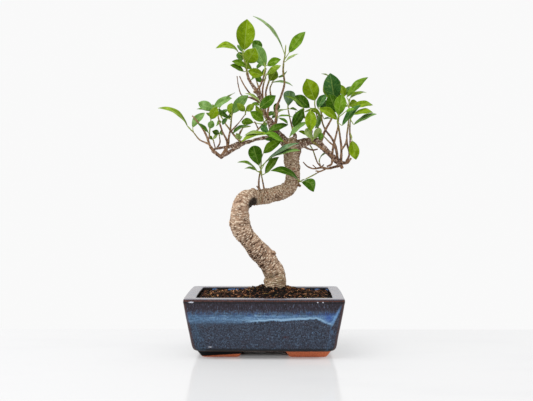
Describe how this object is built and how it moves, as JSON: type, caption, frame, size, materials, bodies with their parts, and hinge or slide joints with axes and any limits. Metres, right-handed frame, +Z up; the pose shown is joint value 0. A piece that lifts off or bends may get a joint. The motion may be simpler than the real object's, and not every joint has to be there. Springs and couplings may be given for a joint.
{
  "type": "bonsai tree in a pot",
  "caption": "small fig bonsai with an S-bent trunk and two limbs of leafy twigs, standing in soil in an oblong glazed pot on four feet",
  "frame": {"origin": "middle of the bounding box, on the ground under the pot's feet", "axes": "+Z up, +X along the pot's length to the right as seen from the front, +Y away from the viewer, across the pot"},
  "size_m": [0.2574, 0.134, 0.3997],
  "materials": {
    "glaze": "gloss",
    "soil": "matte",
    "bark": "matte",
    "net": "matte",
    "leaf": "satin",
    "leaf_dark": "satin",
    "leaf_pale": "satin"
  },
  "bodies": {
    "root": {"drain_screen_left": "net", "drain_screen_right": "net", "pot": "glaze", "shoot_back_centre": "leaf_dark", "shoot_back_left": "leaf_dark", "shoot_back_right": "leaf_dark", "shoot_back_top": "leaf", "shoot_centre": "leaf_dark", "shoot_centre_behind": "leaf_dark", "shoot_centre_fork": "leaf", "shoot_centre_small": "leaf", "shoot_centre_up": "leaf", "shoot_left_dark": "leaf_dark", "shoot_left_fork": "leaf_pale", "shoot_left_inner": "leaf", "shoot_left_low": "leaf_pale", "shoot_left_middle": "leaf", "shoot_left_out": "leaf", "shoot_left_rise": "leaf", "shoot_left_small_a": "leaf", "shoot_left_small_b": "leaf", "shoot_left_young": "leaf", "shoot_low_thin": "leaf_pale", "shoot_nub": "leaf_dark", "shoot_right_bud": "leaf", "shoot_right_fan": "leaf_pale", "shoot_right_fore": "leaf", "shoot_right_hanging": "leaf", "shoot_right_inner": "leaf", "shoot_right_low": "leaf", "shoot_right_outer": "leaf", "shoot_right_outer_b": "leaf", "shoot_right_shade": "leaf_dark", "shoot_right_slant": "leaf_dark", "shoot_right_tall": "leaf_dark", "shoot_right_up": "leaf", "shoot_sprig": "leaf_dark", "shoot_sprig_thin": "leaf", "shoot_top_left": "leaf", "shoot_top_low": "leaf_dark", "shoot_top_middle": "leaf", "shoot_top_second": "leaf", "shoot_top_tall": "leaf", "shoot_top_third": "leaf", "shoot_top_yellow": "leaf", "soil": "soil", "trunk": "bark"}
  },
  "joints": []
}
